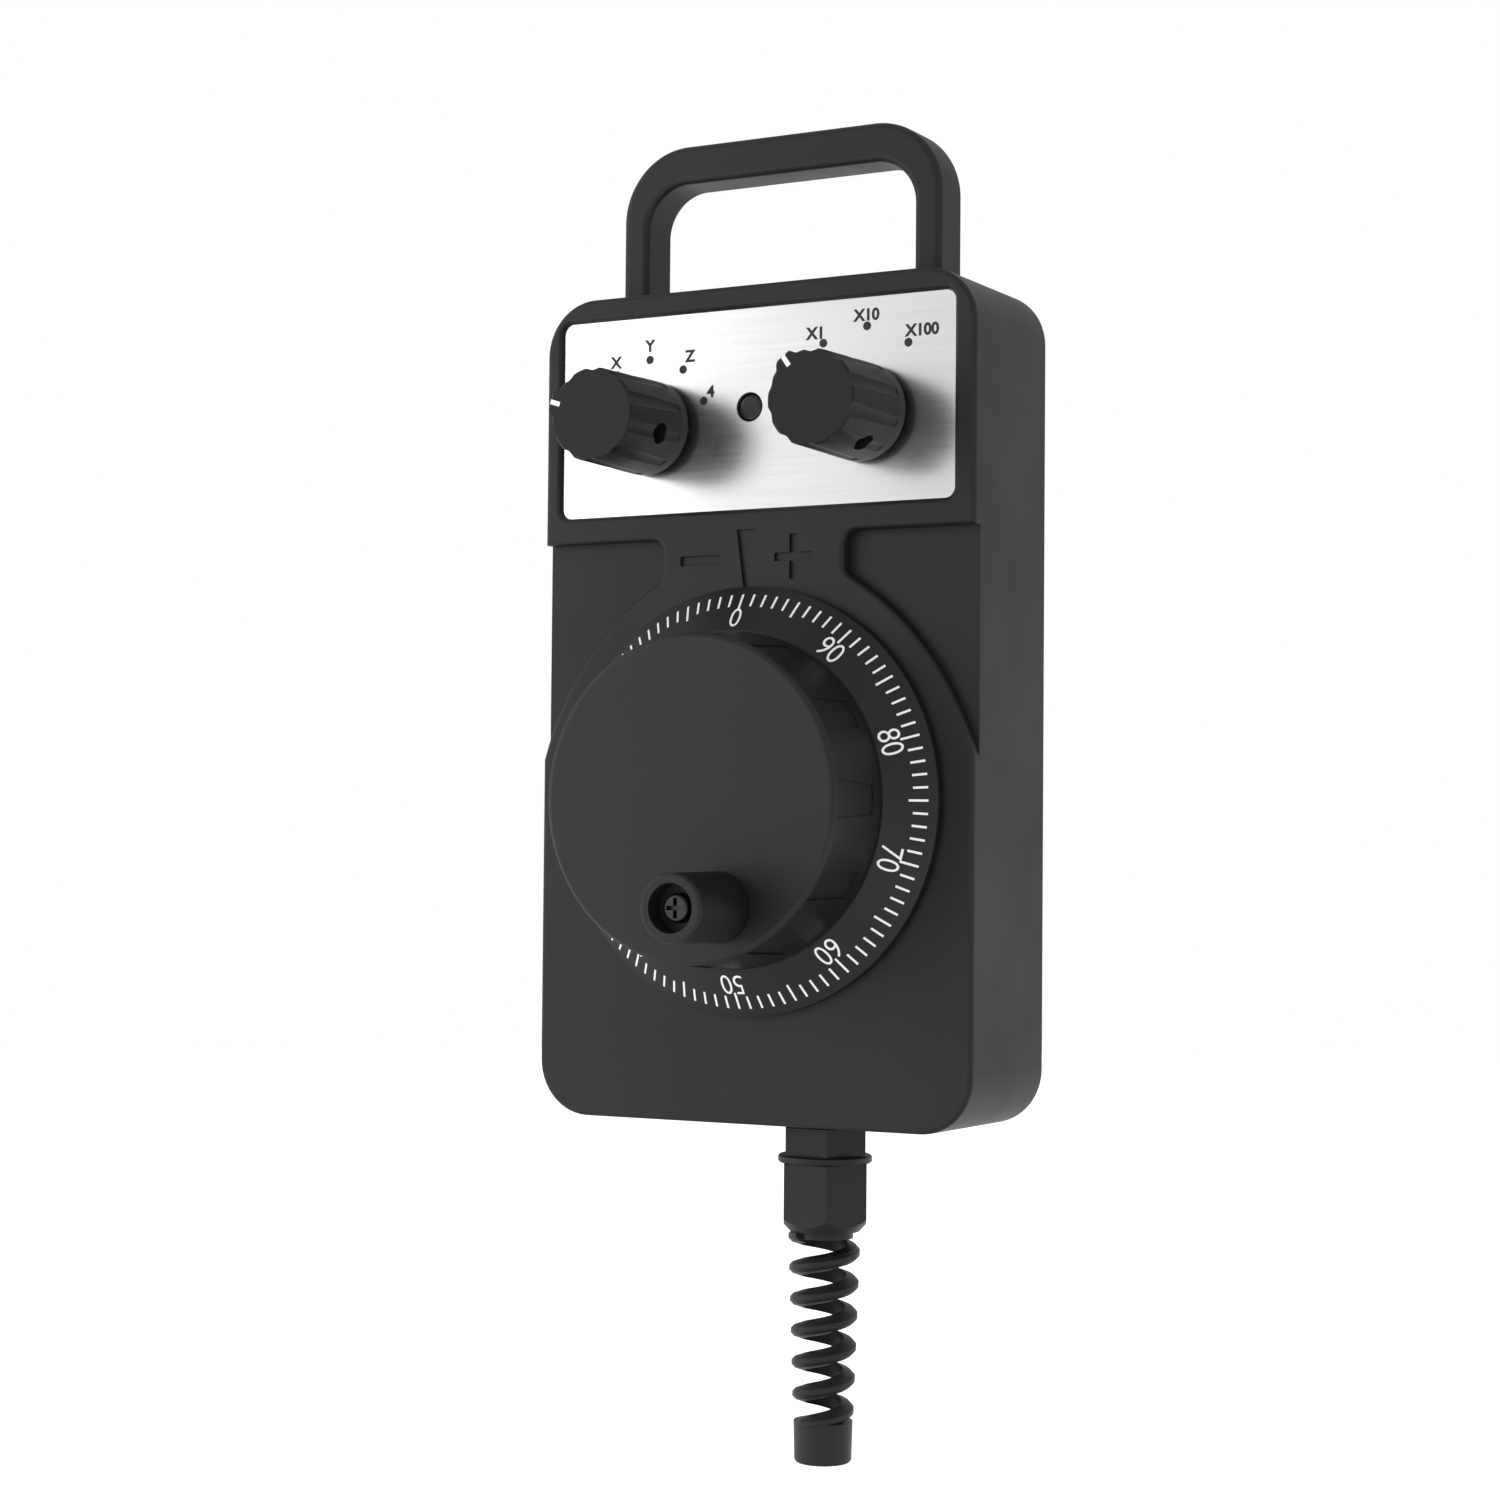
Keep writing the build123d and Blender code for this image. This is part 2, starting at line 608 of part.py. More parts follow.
def code_disc():
    outline = Circle(DISC_R) - Circle(5.0)
    outline -= PolarLocations(16.5, CLICKS) * Rectangle(3.0, 0.5)
    return slab(Pos(0, DIAL_Z) * outline, DISC_NEAR, DISC_NEAR + DISC_T)


def disc_hub():
    bore = SHAFT_R + THREAD_PLAY
    return turned(
        [
            (bore, DISC_NEAR),
            (4.95, DISC_NEAR),
            (4.95, DISC_NEAR + DISC_T),
            (7.5, DISC_NEAR + DISC_T),
            (7.5, DISC_NEAR + 3.2),
            (bore, DISC_NEAR + 3.2),
        ]
    )


def click_rotor():
    """Steel wheel with one tooth per click, turning inside the magnet ring."""
    outline = Circle(CLICK_R) - Circle(SHAFT_R + THREAD_PLAY)
    outline -= PolarLocations(CLICK_R, CLICKS) * Rectangle(0.8, 0.4)
    return slab(Pos(0, DIAL_Z) * outline, CLICK_NEAR, CLICK_NEAR + CLICK_T)


def click_magnet():
    """Fixed ring around the click rotor, with feet on the housing's front plate."""
    body = ring(CLICK_R + 3.2, CLICK_R + 0.3, CLICK_NEAR, CLICK_NEAR + CLICK_T)
    return body + ring(CLICK_R + 3.2, CLICK_R + 1.2, LOW_CAVITY + 2.0, CLICK_NEAR)


def encoder_board():
    return ring(22.0, 9.6, 15.2, 16.8)


def photo_sensor():
    """Fork sensor that the code disc runs through."""
    block = Pos(0, DIAL_Z + 18.0) * Rectangle(10.0, 7.6)
    fork = slab(block, 10.7, 15.2)
    gap = Pos(0, DIAL_Z + 16.8) * Rectangle(11.0, 8.0)
    return fork - slab(gap, DISC_NEAR - 0.5, DISC_NEAR + DISC_T + 0.5)


def terminal_places():
    return [(-12.5 + 5.0 * i, DIAL_Z - 16.0) for i in range(6)]


def terminal_block():
    block = slab(Pos(0, DIAL_Z - 16.0) * Rectangle(30.0, 8.0), ENCODER_FAR + 2.0, 26.4)
    for x, z in terminal_places():
        block -= disc(M2[0] + THREAD_PLAY, 23.4, 27.0, x, z)
    return block


def terminal_screws():
    return group(facing_back(x, z, 26.4) * pan_screw(M2, 2.8) for x, z in terminal_places())


def link_ribbon():
    """Flat ribbon from the switch board's back down to the terminal block."""
    side = [(BOARD_NEAR + BOARD_T, SELECTOR_Z - 8.0), (25.0, SELECTOR_Z - 8.0), (25.0, DIAL_Z - 12.0)]
    line = FilletPolyline([(FRONT_Y + depth, z) for depth, z in side], radius=2.0)
    return Pos(2.0, 0, 0) * extrude(Plane.YZ * trace(line, 0.9), 12.0)


# ---- Handwheel and dial ------------------------------------------------------------------------------
def dial_screw_places():
    return [around(DIAL_SCREW_R, a) for a in (90, 210, 330)]


def wheel_flute(angle):
    """Outline of one shallow finger flute, wider towards the front, cut well into the wheel."""
    near, far = WHEEL_FRONT + WHEEL_EDGE + 0.1, WHEEL_BACK - 2.6
    outline = make_face(Polyline((near, -3.6), (near, 3.6), (far, 2.7), (far, -2.7), close=True))
    plane = Plane((0, 0, 0), x_dir=(0, 1, 0), z_dir=(1, 0, 0))
    return radial_frame(angle, 0) * Pos(WHEEL_R - 2, 0, 0) * extrude(plane * outline, 5)


def flute_floor():
    """Everything inside the floors of the flutes."""
    front, back = WHEEL_R - WHEEL_FLUTE_CUT, WHEEL_R_BASE - WHEEL_FLUTE_CUT
    return turned([(0, WHEEL_FRONT), (front, WHEEL_FRONT), (back, WHEEL_BACK), (0, WHEEL_BACK)])


def handwheel():
    inside = WHEEL_FRONT + WHEEL_SKIN
    wheel = turned(
        [
            (0, WHEEL_FRONT),
            (WHEEL_R, WHEEL_FRONT),
            (WHEEL_R_BASE, WHEEL_BACK),
            (WHEEL_R_BASE - 2.8, WHEEL_BACK),
            (WHEEL_R - 3.2, inside),
            (HUB_R, inside),
            (HUB_R, -3.6),
            (0, -3.6),
        ]
    )
    wheel = fillet(wheel.edges().filter_by(GeomType.CIRCLE).sort_by(Axis.Y)[0], WHEEL_EDGE)
    floor = flute_floor()
    for i in range(WHEEL_FLUTES):
        wheel -= wheel_flute(360 / WHEEL_FLUTES * i) - floor
    for x, z in dial_screw_places():
        wheel += disc(3.2, inside, WHEEL_BACK, x, z)
        wheel -= disc(M25[0] + THREAD_PLAY, WHEEL_BACK - 8, WHEEL_BACK + 1, x, z)
    wheel += disc(4.5, inside, inside + 6, CRANK_X, CRANK_Z)
    wheel -= disc(M3[0] + THREAD_PLAY, WHEEL_FRONT - 1, inside + 7, CRANK_X, CRANK_Z)
    wheel -= disc(SHAFT_R + THREAD_PLAY, -17.4, -3)
    hole = Rot(0, 90, 0) * Cylinder(1.5 + THREAD_PLAY, 33, align=(Align.CENTER, Align.CENTER, Align.MIN))
    for angle in (150, 210):
        wheel -= radial_frame(angle, -13.0) * hole
    return wheel


def wheel_set_screws():
    place = Pos(SHAFT_R + 0.05, 0, 0)
    return group(radial_frame(a, -13.0) * place * set_screw(1.5, 4.5) for a in (150, 210))


def dial_ring():
    dial = turned(
        [
            (13.0, WHEEL_BACK),
            (WHEEL_R_BASE + 0.4, WHEEL_BACK),
            (DIAL_CONE_R, DIAL_EDGE),
            (DIAL_R, DIAL_EDGE + 0.3),
            (DIAL_R, DIAL_BACK),
            (DIAL_R - 1.8, DIAL_BACK),
            (DIAL_R - 1.8, DIAL_EDGE + 1.0),
            (WHEEL_R_BASE - 0.6, WHEEL_BACK + DIAL_WEB),
            (13.0, WHEEL_BACK + DIAL_WEB),
        ]
    )
    for x, z in dial_screw_places():
        dial -= disc(M25[0] + HOLE_PLAY, WHEEL_BACK - 1, WHEEL_BACK + DIAL_WEB + 1, x, z)
    return dial


def dial_screws():
    seat = WHEEL_BACK + DIAL_WEB
    return group(facing_back(x, z, seat) * pan_screw(M25, 9.0) for x, z in dial_screw_places())


def crank_washer():
    return ring(5.4, SHOULDER_R + 0.1, WHEEL_FRONT - 0.4, WHEEL_FRONT, CRANK_X, CRANK_Z)


def crank_screw():
    """Shoulder screw: the grip spins on its shoulder, under its head."""
    seat = CRANK_FLOOR - 0.1
    size = (SHOULDER_R, 2.65, 2.0)
    body = facing_front(CRANK_X, CRANK_Z, seat) * pan_screw(size, WHEEL_FRONT - seat)
    return body + disc(M3[0], WHEEL_FRONT, WHEEL_FRONT + 8.4, CRANK_X, CRANK_Z)


def crank_grip():
    back = WHEEL_FRONT - 0.45
    return turned(
        [
            (CRANK_BORE, CRANK_FRONT),
            (CRANK_R_FRONT - 0.5, CRANK_FRONT),
            (CRANK_R_FRONT - 0.15, CRANK_FRONT + 0.15),
            (CRANK_R_FRONT, CRANK_FRONT + 0.5),
            (CRANK_R_BASE, back),
            (SHOULDER_R + RUNNING, back),
            (SHOULDER_R + RUNNING, CRANK_FLOOR),
            (CRANK_BORE, CRANK_FLOOR),
        ],
        CRANK_X,
        CRANK_Z,
    )


# ---- Cable gland ---------------------------------------------------------------------------------------
def gland_body():
    top = CASE_BOTTOM + WALL + 6.0
    low = CASE_BOTTOM - 16.0
    body = upright(GLAND_THREAD_R, CASE_BOTTOM - WASHER_T, top)
    body += hex_upright(GLAND_HEX, FLANGE_TOP, CASE_BOTTOM - WASHER_T)
    flange = upright(FLANGE_R, FLANGE_TOP - FLANGE_T, FLANGE_TOP)
    body += chamfer(flange.edges().filter_by(GeomType.CIRCLE), 0.3)
    body += upright(5.6, low, FLANGE_TOP - FLANGE_T)
    body -= upright(GLAND_BORE, low - 1, top + 1)
    return body - upright(4.6, low - 1, CASE_BOTTOM - 7.2)


def gland_washer():
    return upright(7.3, CASE_BOTTOM - WASHER_T, CASE_BOTTOM) - upright(
        GLAND_THREAD_R + 0.05, CASE_BOTTOM - 2, CASE_BOTTOM + 1
    )


def gland_locknut():
    low = CASE_BOTTOM + WALL
    nut = hex_upright(17.0, low, low + 4.5)
    return nut - upright(GLAND_THREAD_R + THREAD_PLAY, low - 1, low + 6)


def gland_seal():
    low, high = CASE_BOTTOM - 16.4, CASE_BOTTOM - 7.3
    return upright(4.55, low, high) - upright(SEAL_BORE, low - 1, high + 1)


def coil():
    """Conical right-hand coil of a wedge section, from the nut down to the collar."""
    height = SPIRAL_PITCH * SPIRAL_TURNS
    half_w = SPIRAL_WIRE_W / 2
    growth = degrees(atan((SPIRAL_R_TOP - SPIRAL_R_END) / height))
    path = Helix(SPIRAL_PITCH, height, SPIRAL_R_END - half_w, center=(0, 0, 0), cone_angle=growth)
    low = SPIRAL_TOP - height
    section = make_face(
        Polyline(
            (-half_w, -SPIRAL_T_IN / 2),
            (half_w - SPIRAL_BEVEL, -SPIRAL_T_OUT / 2),
            (half_w, -SPIRAL_TIP / 2),
            (half_w, SPIRAL_TIP / 2),
            (half_w - SPIRAL_BEVEL, SPIRAL_T_OUT / 2),
            (-half_w, SPIRAL_T_IN / 2),
            close=True,
        )
    )
    start = Plane(origin=path @ 0, x_dir=(1, 0, 0), z_dir=path % 0)
    turns = sweep(start * section, path=path, is_frenet=True)
    return Pos(GLAND_X, GLAND_Y, low) * Rot(0, 0, SPIRAL_START) * turns


def strain_relief():
    """Spiral that keeps the cable from kinking. Its root is moulded into the gland nut."""
    height = COLLAR_TOP - COLLAR_BOTTOM
    collar = Cone(COLLAR_R - 0.2, COLLAR_R, height, align=(Align.CENTER, Align.CENTER, Align.MIN))
    collar = fillet(collar.edges().filter_by(GeomType.CIRCLE).sort_by(Axis.Z)[0], 0.8)
    collar = Pos(GLAND_X, GLAND_Y, COLLAR_BOTTOM) * collar
    collar -= upright(COLLAR_BORE, COLLAR_BOTTOM - 1, COLLAR_TOP + 1)
    return coil() + collar


def gland_nut():
    """Clamping nut, with its lower corners turned off and a short neck below."""
    top = FLANGE_TOP - FLANGE_T - 0.1
    corner = NUT_HEX / 2 / cos(radians(30))
    outline = [
        (0, top),
        (corner + 0.1, top),
        (corner + 0.1, NUT_BOTTOM + 2.6),
        (6.6, NUT_BOTTOM),
        (0, NUT_BOTTOM),
    ]
    profile = Plane.XZ * make_face(Polyline(outline, close=True))
    nut = hex_upright(NUT_HEX, NUT_BOTTOM, top) & Pos(GLAND_X, GLAND_Y, 0) * revolve(profile, Axis.Z)
    nut += upright(5.45, SPIRAL_TOP - 0.9, NUT_BOTTOM)
    nut -= upright(5.65, NUT_BOTTOM + 4.0, top + 1)
    return nut - upright(GLAND_BORE, SPIRAL_TOP - 5, top + 1)


# ---- Everything, by node name ------------------------------------------------------------------------------
def selector_nodes(name, x, rest, positions, step):
    """All pieces of one rotary selector. Its pins stand at its positions, plus a common one."""
    angles = [rest - step * i for i in range(positions)] + [rest + 2 * step]
    pins = pin_places(x, angles)
    nodes = {
        f"{name}_switch_body": switch_body(x),
        f"{name}_switch_base": switch_base(x, angles),
        f"{name}_switch_terminals": switch_terminals(x, angles),
        f"{name}_switch_washer": switch_washer(x),
        f"{name}_switch_nut": switch_nut(x),
        f"{name}_switch_shaft": switch_shaft(x),
        f"{name}_switch_rotor": switch_rotor(x, rest),
        f"{name}_knob": knob(x, rest),
        f"{name}_knob_index": knob_index(x, rest),
        f"{name}_knob_screw": knob_screw(x, rest),
    }
    return nodes, pins


def all_nodes():
    makers = [
        front_shell,
        rear_cover,
        case_gasket,
        cover_screws,
        carry_handle,
        handle_screws,
        label_plate,
        led_lamp,
        led_leads,
        encoder_housing,
        encoder_screws,
        encoder_cover,
        encoder_cover_screws,
        shaft_bushes,
        encoder_shaft,
        shaft_clip,
        code_disc,
        disc_hub,
        click_rotor,
        click_magnet,
        encoder_board,
        photo_sensor,
        terminal_block,
        terminal_screws,
        link_ribbon,
        handwheel,
        wheel_set_screws,
        dial_ring,
        dial_screws,
        crank_washer,
        crank_screw,
        crank_grip,
        gland_body,
        gland_washer,
        gland_locknut,
        gland_seal,
        gland_nut,
        strain_relief,
    ]
    nodes = {make.__name__: make() for make in makers}
    axis, axis_pins = selector_nodes("axis", AXIS_X, AXIS_REST, 5, 36)
    multiplier, multiplier_pins = selector_nodes("multiplier", MULTIPLIER_X, MULTIPLIER_REST, 3, 36)
    nodes |= axis | multiplier
    nodes["switch_board"] = switch_board(axis_pins + multiplier_pins)
    return nodes


os.makedirs("parts", exist_ok=True)
for node, shape in all_nodes().items():
    export_step(shape, f"parts/{node}.step")
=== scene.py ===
import json
from math import cos, pi, sin

import bmesh
import bpy
from mathutils import Matrix, Vector


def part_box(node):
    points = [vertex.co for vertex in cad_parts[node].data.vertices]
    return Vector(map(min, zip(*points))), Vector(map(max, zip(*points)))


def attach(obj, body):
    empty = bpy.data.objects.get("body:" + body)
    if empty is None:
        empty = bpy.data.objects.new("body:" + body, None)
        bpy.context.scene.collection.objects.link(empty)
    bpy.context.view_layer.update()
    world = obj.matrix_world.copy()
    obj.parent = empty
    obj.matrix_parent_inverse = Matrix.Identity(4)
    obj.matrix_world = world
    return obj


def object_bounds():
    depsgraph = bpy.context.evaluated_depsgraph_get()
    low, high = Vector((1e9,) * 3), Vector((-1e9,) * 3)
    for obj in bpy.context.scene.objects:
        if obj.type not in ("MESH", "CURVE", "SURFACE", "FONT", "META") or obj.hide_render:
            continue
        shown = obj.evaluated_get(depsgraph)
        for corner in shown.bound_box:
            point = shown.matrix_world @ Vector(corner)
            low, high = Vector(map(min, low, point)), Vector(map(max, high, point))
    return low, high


# A hand-held jog pendant, seen from its front right. The CAD nodes keep their shapes and get
# their finishes here. The dial's lines and numbers and the label plate's print are added as
# thin raised pieces, placed from the CAD nodes' boxes. Metres; the front faces -Y, +Z is up.

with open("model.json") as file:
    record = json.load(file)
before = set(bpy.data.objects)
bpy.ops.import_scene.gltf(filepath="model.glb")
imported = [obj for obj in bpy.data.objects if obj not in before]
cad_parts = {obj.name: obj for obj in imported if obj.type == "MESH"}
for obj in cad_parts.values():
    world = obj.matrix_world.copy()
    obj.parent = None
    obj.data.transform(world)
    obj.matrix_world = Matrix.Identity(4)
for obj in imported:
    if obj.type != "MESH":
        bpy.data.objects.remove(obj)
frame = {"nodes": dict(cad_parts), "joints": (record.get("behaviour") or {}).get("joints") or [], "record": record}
NODES = frame["nodes"]
JOINTS = {joint["name"]: joint for joint in frame["joints"]}
MM = 0.001
cad_low, cad_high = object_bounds()

# Print and paint
INK_LIFT = 0.05 * MM  # how far print stands above its surface
INK_SINK = 0.08 * MM  # how far it reaches into it
INK_EDGE = 0.6  # share of INK_LIFT at which a dot's rounded edge starts

# Dial
DIAL_LINES = 100
LINE_OUTER = 38.5 * MM
LINE_INNER = {1: 36.2 * MM, 5: 35.5 * MM, 10: 35.5 * MM}
LINE_WIDTH = 0.42 * MM
CONE_INNER = 31.6 * MM  # radius at which the dial's cone starts
CONE_OUTER = 39.6 * MM  # radius at which it meets the rim
CONE_DROP = 5.2 * MM  # how far it falls back between them
NUMBER_MIDDLE = 34.0 * MM
NUMBER_HEIGHT = 3.5 * MM
NUMBER_BOLD = -0.008  # thickening of the strokes, in letter sizes

# Label plate
DOT_RADIUS = 0.82 * MM
DOT_TOP = 0.94  # share of the radius at the top of a dot's rounded edge
DOT_SIDES = 40
LABEL_HEIGHT = 2.35 * MM
LABEL_BOLD = 0.035
# Millimetres right of and above each selector's axis
AXIS_DOTS = {"": (-12.8, 4.8), "X": (-8.2, 11.1), "Y": (-0.8, 13.5), "Z": (6.6, 11.1), "4": (11.2, 4.8)}
AXIS_LABELS = {"X": (-8.4, 13.5), "Y": (-0.8, 16.2), "Z": (8.1, 13.6), "4": (12.7, 6.5)}
MULTIPLIER_DOTS = {"X1": (-9.1, 13.8), "X10": (0.0, 16.3), "X100": (8.5, 12.6)}
MULTIPLIER_LABELS = {"X1": (-11.1, 15.8), "X10": (-0.2, 18.4), "X100": (11.2, 14.8)}

# Camera, as solved for the view: where it stands in the row frame, and how it is turned
CAMERA_AT = Vector((0.27019, -0.49661, -0.13152))
CAMERA_RIGHT = Vector((0.87281, 0.48799, 0.00870))
CAMERA_UP = Vector((0.01078, -0.03710, 0.99925))
CAMERA_BACK = Vector((0.48794, -0.87206, -0.03764))
LENS = 71.07
SENSOR = 36.0

# Studio: the floor glows from nothing at the first distance to 0.75 at the second
FLOOR_BELOW = 0.3
FLOOR_GLOW = (0.3, 0.6, 0.0, 0.75)
FLOOR_RADIUS = 6.0
KEY_PLACE = Vector((-0.8, -0.6, 0.15))  # from the middle of the object
KEY_SIZE = 0.7
KEY_POWER = 3.4
SURROUNDINGS = 0.8  # strength of the grey that lights the object


# ---- Node-material helpers ------------------------------------------------------------------
def new_material(name, colour, roughness, metallic=0.0, specular=0.5):
    """A principled material and its node tree, shader and output."""
    material = bpy.data.materials.new(name)
    material.use_nodes = True
    tree = material.node_tree
    shader = tree.nodes["Principled BSDF"]
    shader.inputs["Base Color"].default_value = (*colour, 1.0)
    shader.inputs["Roughness"].default_value = roughness
    shader.inputs["Metallic"].default_value = metallic
    shader.inputs["Specular IOR Level"].default_value = specular
    return material, tree, shader


def noise(tree, scale, detail=3.0, stretch=(1.0, 1.0, 1.0)):
    """Noise in the object's own coordinates; scale counts features per metre."""
    coordinates = tree.nodes.new("ShaderNodeTexCoord")
    mapping = tree.nodes.new("ShaderNodeMapping")
    mapping.inputs["Scale"].default_value = stretch
    texture = tree.nodes.new("ShaderNodeTexNoise")
    texture.inputs["Scale"].default_value = scale
    texture.inputs["Detail"].default_value = detail
    tree.links.new(coordinates.outputs["Object"], mapping.inputs["Vector"])
    tree.links.new(mapping.outputs["Vector"], texture.inputs["Vector"])
    return texture.outputs["Fac"]


def spread(tree, source, low, high):
    """Maps a 0 to 1 value to low to high."""
    node = tree.nodes.new("ShaderNodeMapRange")
    node.inputs["From Min"].default_value = 0.3
    node.inputs["From Max"].default_value = 0.7
    node.inputs["To Min"].default_value = low
    node.inputs["To Max"].default_value = high
    tree.links.new(source, node.inputs["Value"])
    return node.outputs["Result"]


def tint(tree, shader, source, dark, light):
    """Base colour that wanders between two colours."""
    node = tree.nodes.new("ShaderNodeMix")
    node.data_type = "RGBA"
    node.inputs["A"].default_value = (*dark, 1.0)
    node.inputs["B"].default_value = (*light, 1.0)
    tree.links.new(source, node.inputs["Factor"])
    tree.links.new(node.outputs["Result"], shader.inputs["Base Color"])


def bump(tree, shader, heights, strength=1.0):
    """Chains (height source, depth in metres) pairs into the shader's normal."""
    normal = None
    for source, depth in heights:
        node = tree.nodes.new("ShaderNodeBump")
        node.inputs["Strength"].default_value = strength
        node.inputs["Distance"].default_value = depth
        tree.links.new(source, node.inputs["Height"])
        if normal is not None:
            tree.links.new(normal, node.inputs["Normal"])
        normal = node.outputs["Normal"]
    tree.links.new(normal, shader.inputs["Normal"])


# ---- Materials ------------------------------------------------------------------------------
def moulded_plastic(name, dark, light, roughness, grain, depth, specular=0.3):
    """Black moulded plastic: a spark-eroded grain, slow unevenness and patchy gloss."""
    material, tree, shader = new_material(name, dark, roughness, specular=specular)
    patches = noise(tree, 45.0)
    grains = noise(tree, grain, 4.0)
    tint(tree, shader, patches, dark, light)
    gloss = spread(tree, patches, roughness - 0.04, roughness + 0.05)
    tree.links.new(gloss, shader.inputs["Roughness"])
    bump(tree, shader, [(noise(tree, 60.0, 1.0), 0.02 * MM), (grains, depth)], 0.6)
    return material


def label_silver():
    """Satin anodised sheet with a very fine horizontal brush."""
    material, tree, shader = new_material("label_silver", (0.78, 0.78, 0.79), 0.22, 1.0)
    brush = noise(tree, 900.0, 6.0, (0.04, 1.0, 2.4))
    gloss = spread(tree, brush, 0.2, 0.24)
    tree.links.new(gloss, shader.inputs["Roughness"])
    tint(tree, shader, brush, (0.75, 0.75, 0.76), (0.77, 0.77, 0.78))
    bump(tree, shader, [(brush, 0.001 * MM)], 0.3)
    return material


def ink(name, colour):
    """Screen-printed ink, slightly uneven in gloss."""
    material, tree, shader = new_material(name, colour, 0.5, specular=0.3)
    gloss = spread(tree, noise(tree, 1500.0), 0.42, 0.6)
    tree.links.new(gloss, shader.inputs["Roughness"])
    bump(tree, shader, [(noise(tree, 5000.0), 0.004 * MM)], 0.5)
    return material


def lamp_resin():
    """Smoked epoxy of an unlit lamp."""
    material, tree, shader = new_material("lamp_resin", (0.012, 0.012, 0.013), 0.3, specular=0.4)
    gloss = spread(tree, noise(tree, 400.0), 0.25, 0.36)
    tree.links.new(gloss, shader.inputs["Roughness"])
    return material


def rubber():
    material, tree, shader = new_material("rubber", (0.012, 0.012, 0.012), 0.75, specular=0.25)
    gloss = spread(tree, noise(tree, 700.0), 0.65, 0.85)
    tree.links.new(gloss, shader.inputs["Roughness"])
    bump(tree, shader, [(noise(tree, 2500.0), 0.01 * MM)], 0.6)
    return material


def metal(name, colour, roughness):
    """Plated or turned metal with fine tool marks."""
    material, tree, shader = new_material(name, colour, roughness, metallic=1.0)
    marks = noise(tree, 2500.0, 5.0, (1.0, 0.2, 1.0))
    gloss = spread(tree, marks, roughness - 0.06, roughness + 0.1)
    tree.links.new(gloss, shader.inputs["Roughness"])
    worn = tuple(0.82 * c for c in colour)
    tint(tree, shader, noise(tree, 300.0), worn, colour)
    bump(tree, shader, [(marks, 0.005 * MM)], 0.5)
    return material


def plain_part(name, colour, roughness):
    """Inner parts of board, phenolic, ferrite and ribbon, with grain and colour variation."""
    material, tree, shader = new_material(name, colour, roughness)
    darker = tuple(0.8 * c for c in colour)
    tint(tree, shader, noise(tree, 350.0), darker, colour)
    bump(tree, shader, [(noise(tree, 3000.0), 0.01 * MM)], 0.6)
    return material


def make_materials():
    """One finish for each of the record's material slots."""
    black, soft_black = (0.007, 0.007, 0.0074), (0.009, 0.009, 0.0094)
    return {
        "case_plastic": moulded_plastic("case_plastic", black, soft_black, 0.52, 2600.0, 0.02 * MM),
        "dial_plastic": moulded_plastic("dial_plastic", black, soft_black, 0.46, 3200.0, 0.012 * MM),
        "knob_plastic": moulded_plastic("knob_plastic", black, soft_black, 0.44, 3600.0, 0.01 * MM, 0.2),
        "gland_nylon": moulded_plastic("gland_nylon", black, soft_black, 0.5, 3000.0, 0.012 * MM),
        "encoder_plastic": plain_part("encoder_plastic", (0.03, 0.03, 0.032), 0.5),
        "white_inlay": ink("white_inlay", (0.86, 0.86, 0.85)),
        "label_silver": label_silver(),
        "lamp_resin": lamp_resin(),
        "rubber": rubber(),
        "black_steel": metal("black_steel", (0.05, 0.05, 0.055), 0.34),
        "zinc_steel": metal("zinc_steel", (0.62, 0.63, 0.65), 0.3),
        "cast_zinc": metal("cast_zinc", (0.5, 0.5, 0.52), 0.42),
        "pin_brass": metal("pin_brass", (0.78, 0.6, 0.28), 0.3),
        "switch_phenolic": plain_part("switch_phenolic", (0.2, 0.1, 0.045), 0.5),
        "board_green": plain_part("board_green", (0.02, 0.16, 0.06), 0.32),
        "magnet_grey": plain_part("magnet_grey", (0.09, 0.09, 0.095), 0.6),
        "washer_nylon": plain_part("washer_nylon", (0.03, 0.03, 0.03), 0.45),
        "ribbon_grey": plain_part("ribbon_grey", (0.3, 0.3, 0.32), 0.45),
    }


MATERIALS = make_materials()
MATERIALS["black_ink"] = ink("black_ink", (0.02, 0.02, 0.022))


def finish_nodes():
    """Gives every CAD node its slot's finish."""
    for part in frame["record"]["subparts"]:
        node = NODES[part["node"]]
        node.data.materials.clear()
        node.data.materials.append(MATERIALS[part["material_slot"]])


# ---- Print: thin raised solids that lie on a surface ----------------------------------------
def add_piece(name, mesh, material, body):
    mesh.materials.clear()
    mesh.materials.append(material)
    piece = bpy.data.objects.new(name, mesh)
    bpy.context.scene.collection.objects.link(piece)
    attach(piece, body)
    return piece


def text_mesh(words, height, bold):
    """Centred lettering of the given capital height in its own XY plane, from z -1 to +1."""
    curve = bpy.data.curves.new(words, "FONT")
    curve.body = words
    curve.align_x = "CENTER"
    curve.size = 1.0
    curve.extrude = 1.0
    curve.offset = bold
    curve.resolution_u = 6
    shape = bpy.data.objects.new(words, curve)
    mesh = bpy.data.meshes.new_from_object(shape)
    bpy.data.objects.remove(shape)
    lows = [min(v.co[axis] for v in mesh.vertices) for axis in (0, 1)]
    highs = [max(v.co[axis] for v in mesh.vertices) for axis in (0, 1)]
    scale = height / (highs[1] - lows[1])
    shift = Matrix.Translation((-(lows[0] + highs[0]) / 2, -(lows[1] + highs[1]) / 2, 0))
    mesh.transform(Matrix.Diagonal((scale, scale, 1, 1)) @ shift)
    return mesh


